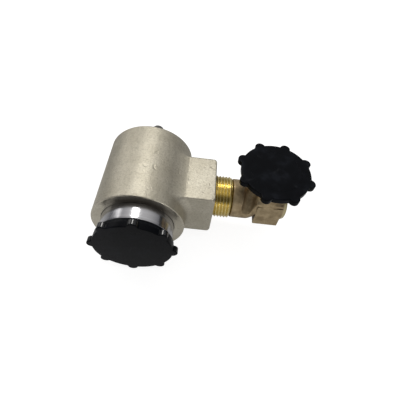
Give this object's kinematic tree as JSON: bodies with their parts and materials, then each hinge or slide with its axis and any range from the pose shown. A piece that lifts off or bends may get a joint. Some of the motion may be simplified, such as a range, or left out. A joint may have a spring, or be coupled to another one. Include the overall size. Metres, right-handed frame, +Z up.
{
  "type": "gas regulator",
  "caption": "Compact diaphragm gas regulator: round body with a square side boss, lobed adjusting knob, barbed hose tail and a screwed-in brass shut-off valve with a lobed handwheel.",
  "frame": {"origin": "centre of the inlet port's mouth, in the end face of the shut-off valve", "axes": "+X out of the inlet port, along the valve's axis; +Y along the regulator's axis towards the hose tail, away from its knob; +Z up the valve spindle towards the handwheel"},
  "size_m": [0.1169, 0.0913, 0.053],
  "materials": {
    "cast_nickel": "bead-blasted nickel plate on forged brass, warm satin",
    "turned_steel": "turned bright, fine ring marks",
    "valve_brass": "as-forged, dull tan, machined thread bright",
    "machined_brass": "machined",
    "dark_nickel": "dark nickel plate, satin",
    "black_plastic": "moulded black plastic, satin",
    "black_rubber": "moulded rubber",
    "spring_steel": "drawn wire",
    "zinc_steel": "zinc plated",
    "white_polymer": "moulded PTFE or nylon",
    "copper_washer": "soft copper, stamped",
    "sintered_bronze": "sintered, granular"
  },
  "bodies": {
    "body": {"regulator_body": "cast_nickel", "bonnet": "turned_steel", "slip_ring": "white_polymer", "diaphragm": "black_rubber", "adjusting_spring": "spring_steel", "thrust_washer": "white_polymer", "seat_nozzle": "machined_brass", "poppet_spring": "spring_steel", "poppet_guide": "machined_brass", "guide_seal": "black_rubber", "inlet_filter": "sintered_bronze", "boss_seal": "white_polymer", "hose_tail": "dark_nickel", "tail_seal": "copper_washer", "valve_body": "valve_brass", "headpiece_seal": "copper_washer", "headpiece": "machined_brass", "gland_packing": "white_polymer", "gland_nut": "machined_brass"},
    "knob": {"knob": "black_plastic", "knob_screw": "zinc_steel", "knob_cap": "black_plastic", "adjusting_screw": "zinc_steel"},
    "spring_nut": {"spring_nut": "machined_brass"},
    "diaphragm_centre": {"diaphragm_plate": "machined_brass", "diaphragm_washer": "zinc_steel"},
    "poppet": {"poppet": "machined_brass", "poppet_pad": "white_polymer"},
    "valve_pad": {"valve_pad": "white_polymer"},
    "handwheel": {"valve_spindle": "zinc_steel", "handwheel": "black_plastic", "wheel_washer": "zinc_steel", "wheel_screw": "zinc_steel", "wheel_cap": "black_plastic"}
  },
  "joints": [
    {"name": "knob_turn", "type": "hinge", "parent": "body", "child": "knob", "pos_m": [-0.083, -0.036, 0], "axis": [0, 1, 0], "range_deg": [0, 960.5]},
    {"name": "spring_nut_travel", "type": "slide", "parent": "body", "child": "spring_nut", "axis": [0, 1, 0], "range_m": [0, 0.004], "deforming": ["adjusting_spring"]},
    {"name": "diaphragm_travel", "type": "slide", "parent": "body", "child": "diaphragm_centre", "axis": [0, 1, 0], "range_m": [0, 0.001], "stiffness_N_per_m": 800, "deforming": ["diaphragm"]},
    {"name": "poppet_travel", "type": "slide", "parent": "body", "child": "poppet", "axis": [0, 1, 0], "range_m": [0, 0.001], "deforming": ["poppet_spring"]},
    {"name": "spindle_lift", "type": "slide", "parent": "body", "child": "valve_pad", "axis": [0, 0, 1], "range_m": [0, 0.00225]},
    {"name": "handwheel_turn", "type": "hinge", "parent": "valve_pad", "child": "handwheel", "pos_m": [-0.012, 0, 0], "axis": [0, 0, 1], "range_deg": [0, 540.5]}
  ],
  "couplings": [
    {"joint": "knob_turn", "follows": "spring_nut_travel", "rad_per_m": 4188.8},
    {"joint": "poppet_travel", "follows": "diaphragm_travel", "ratio": 1},
    {"joint": "handwheel_turn", "follows": "spindle_lift", "rad_per_m": 4188.8}
  ]
}
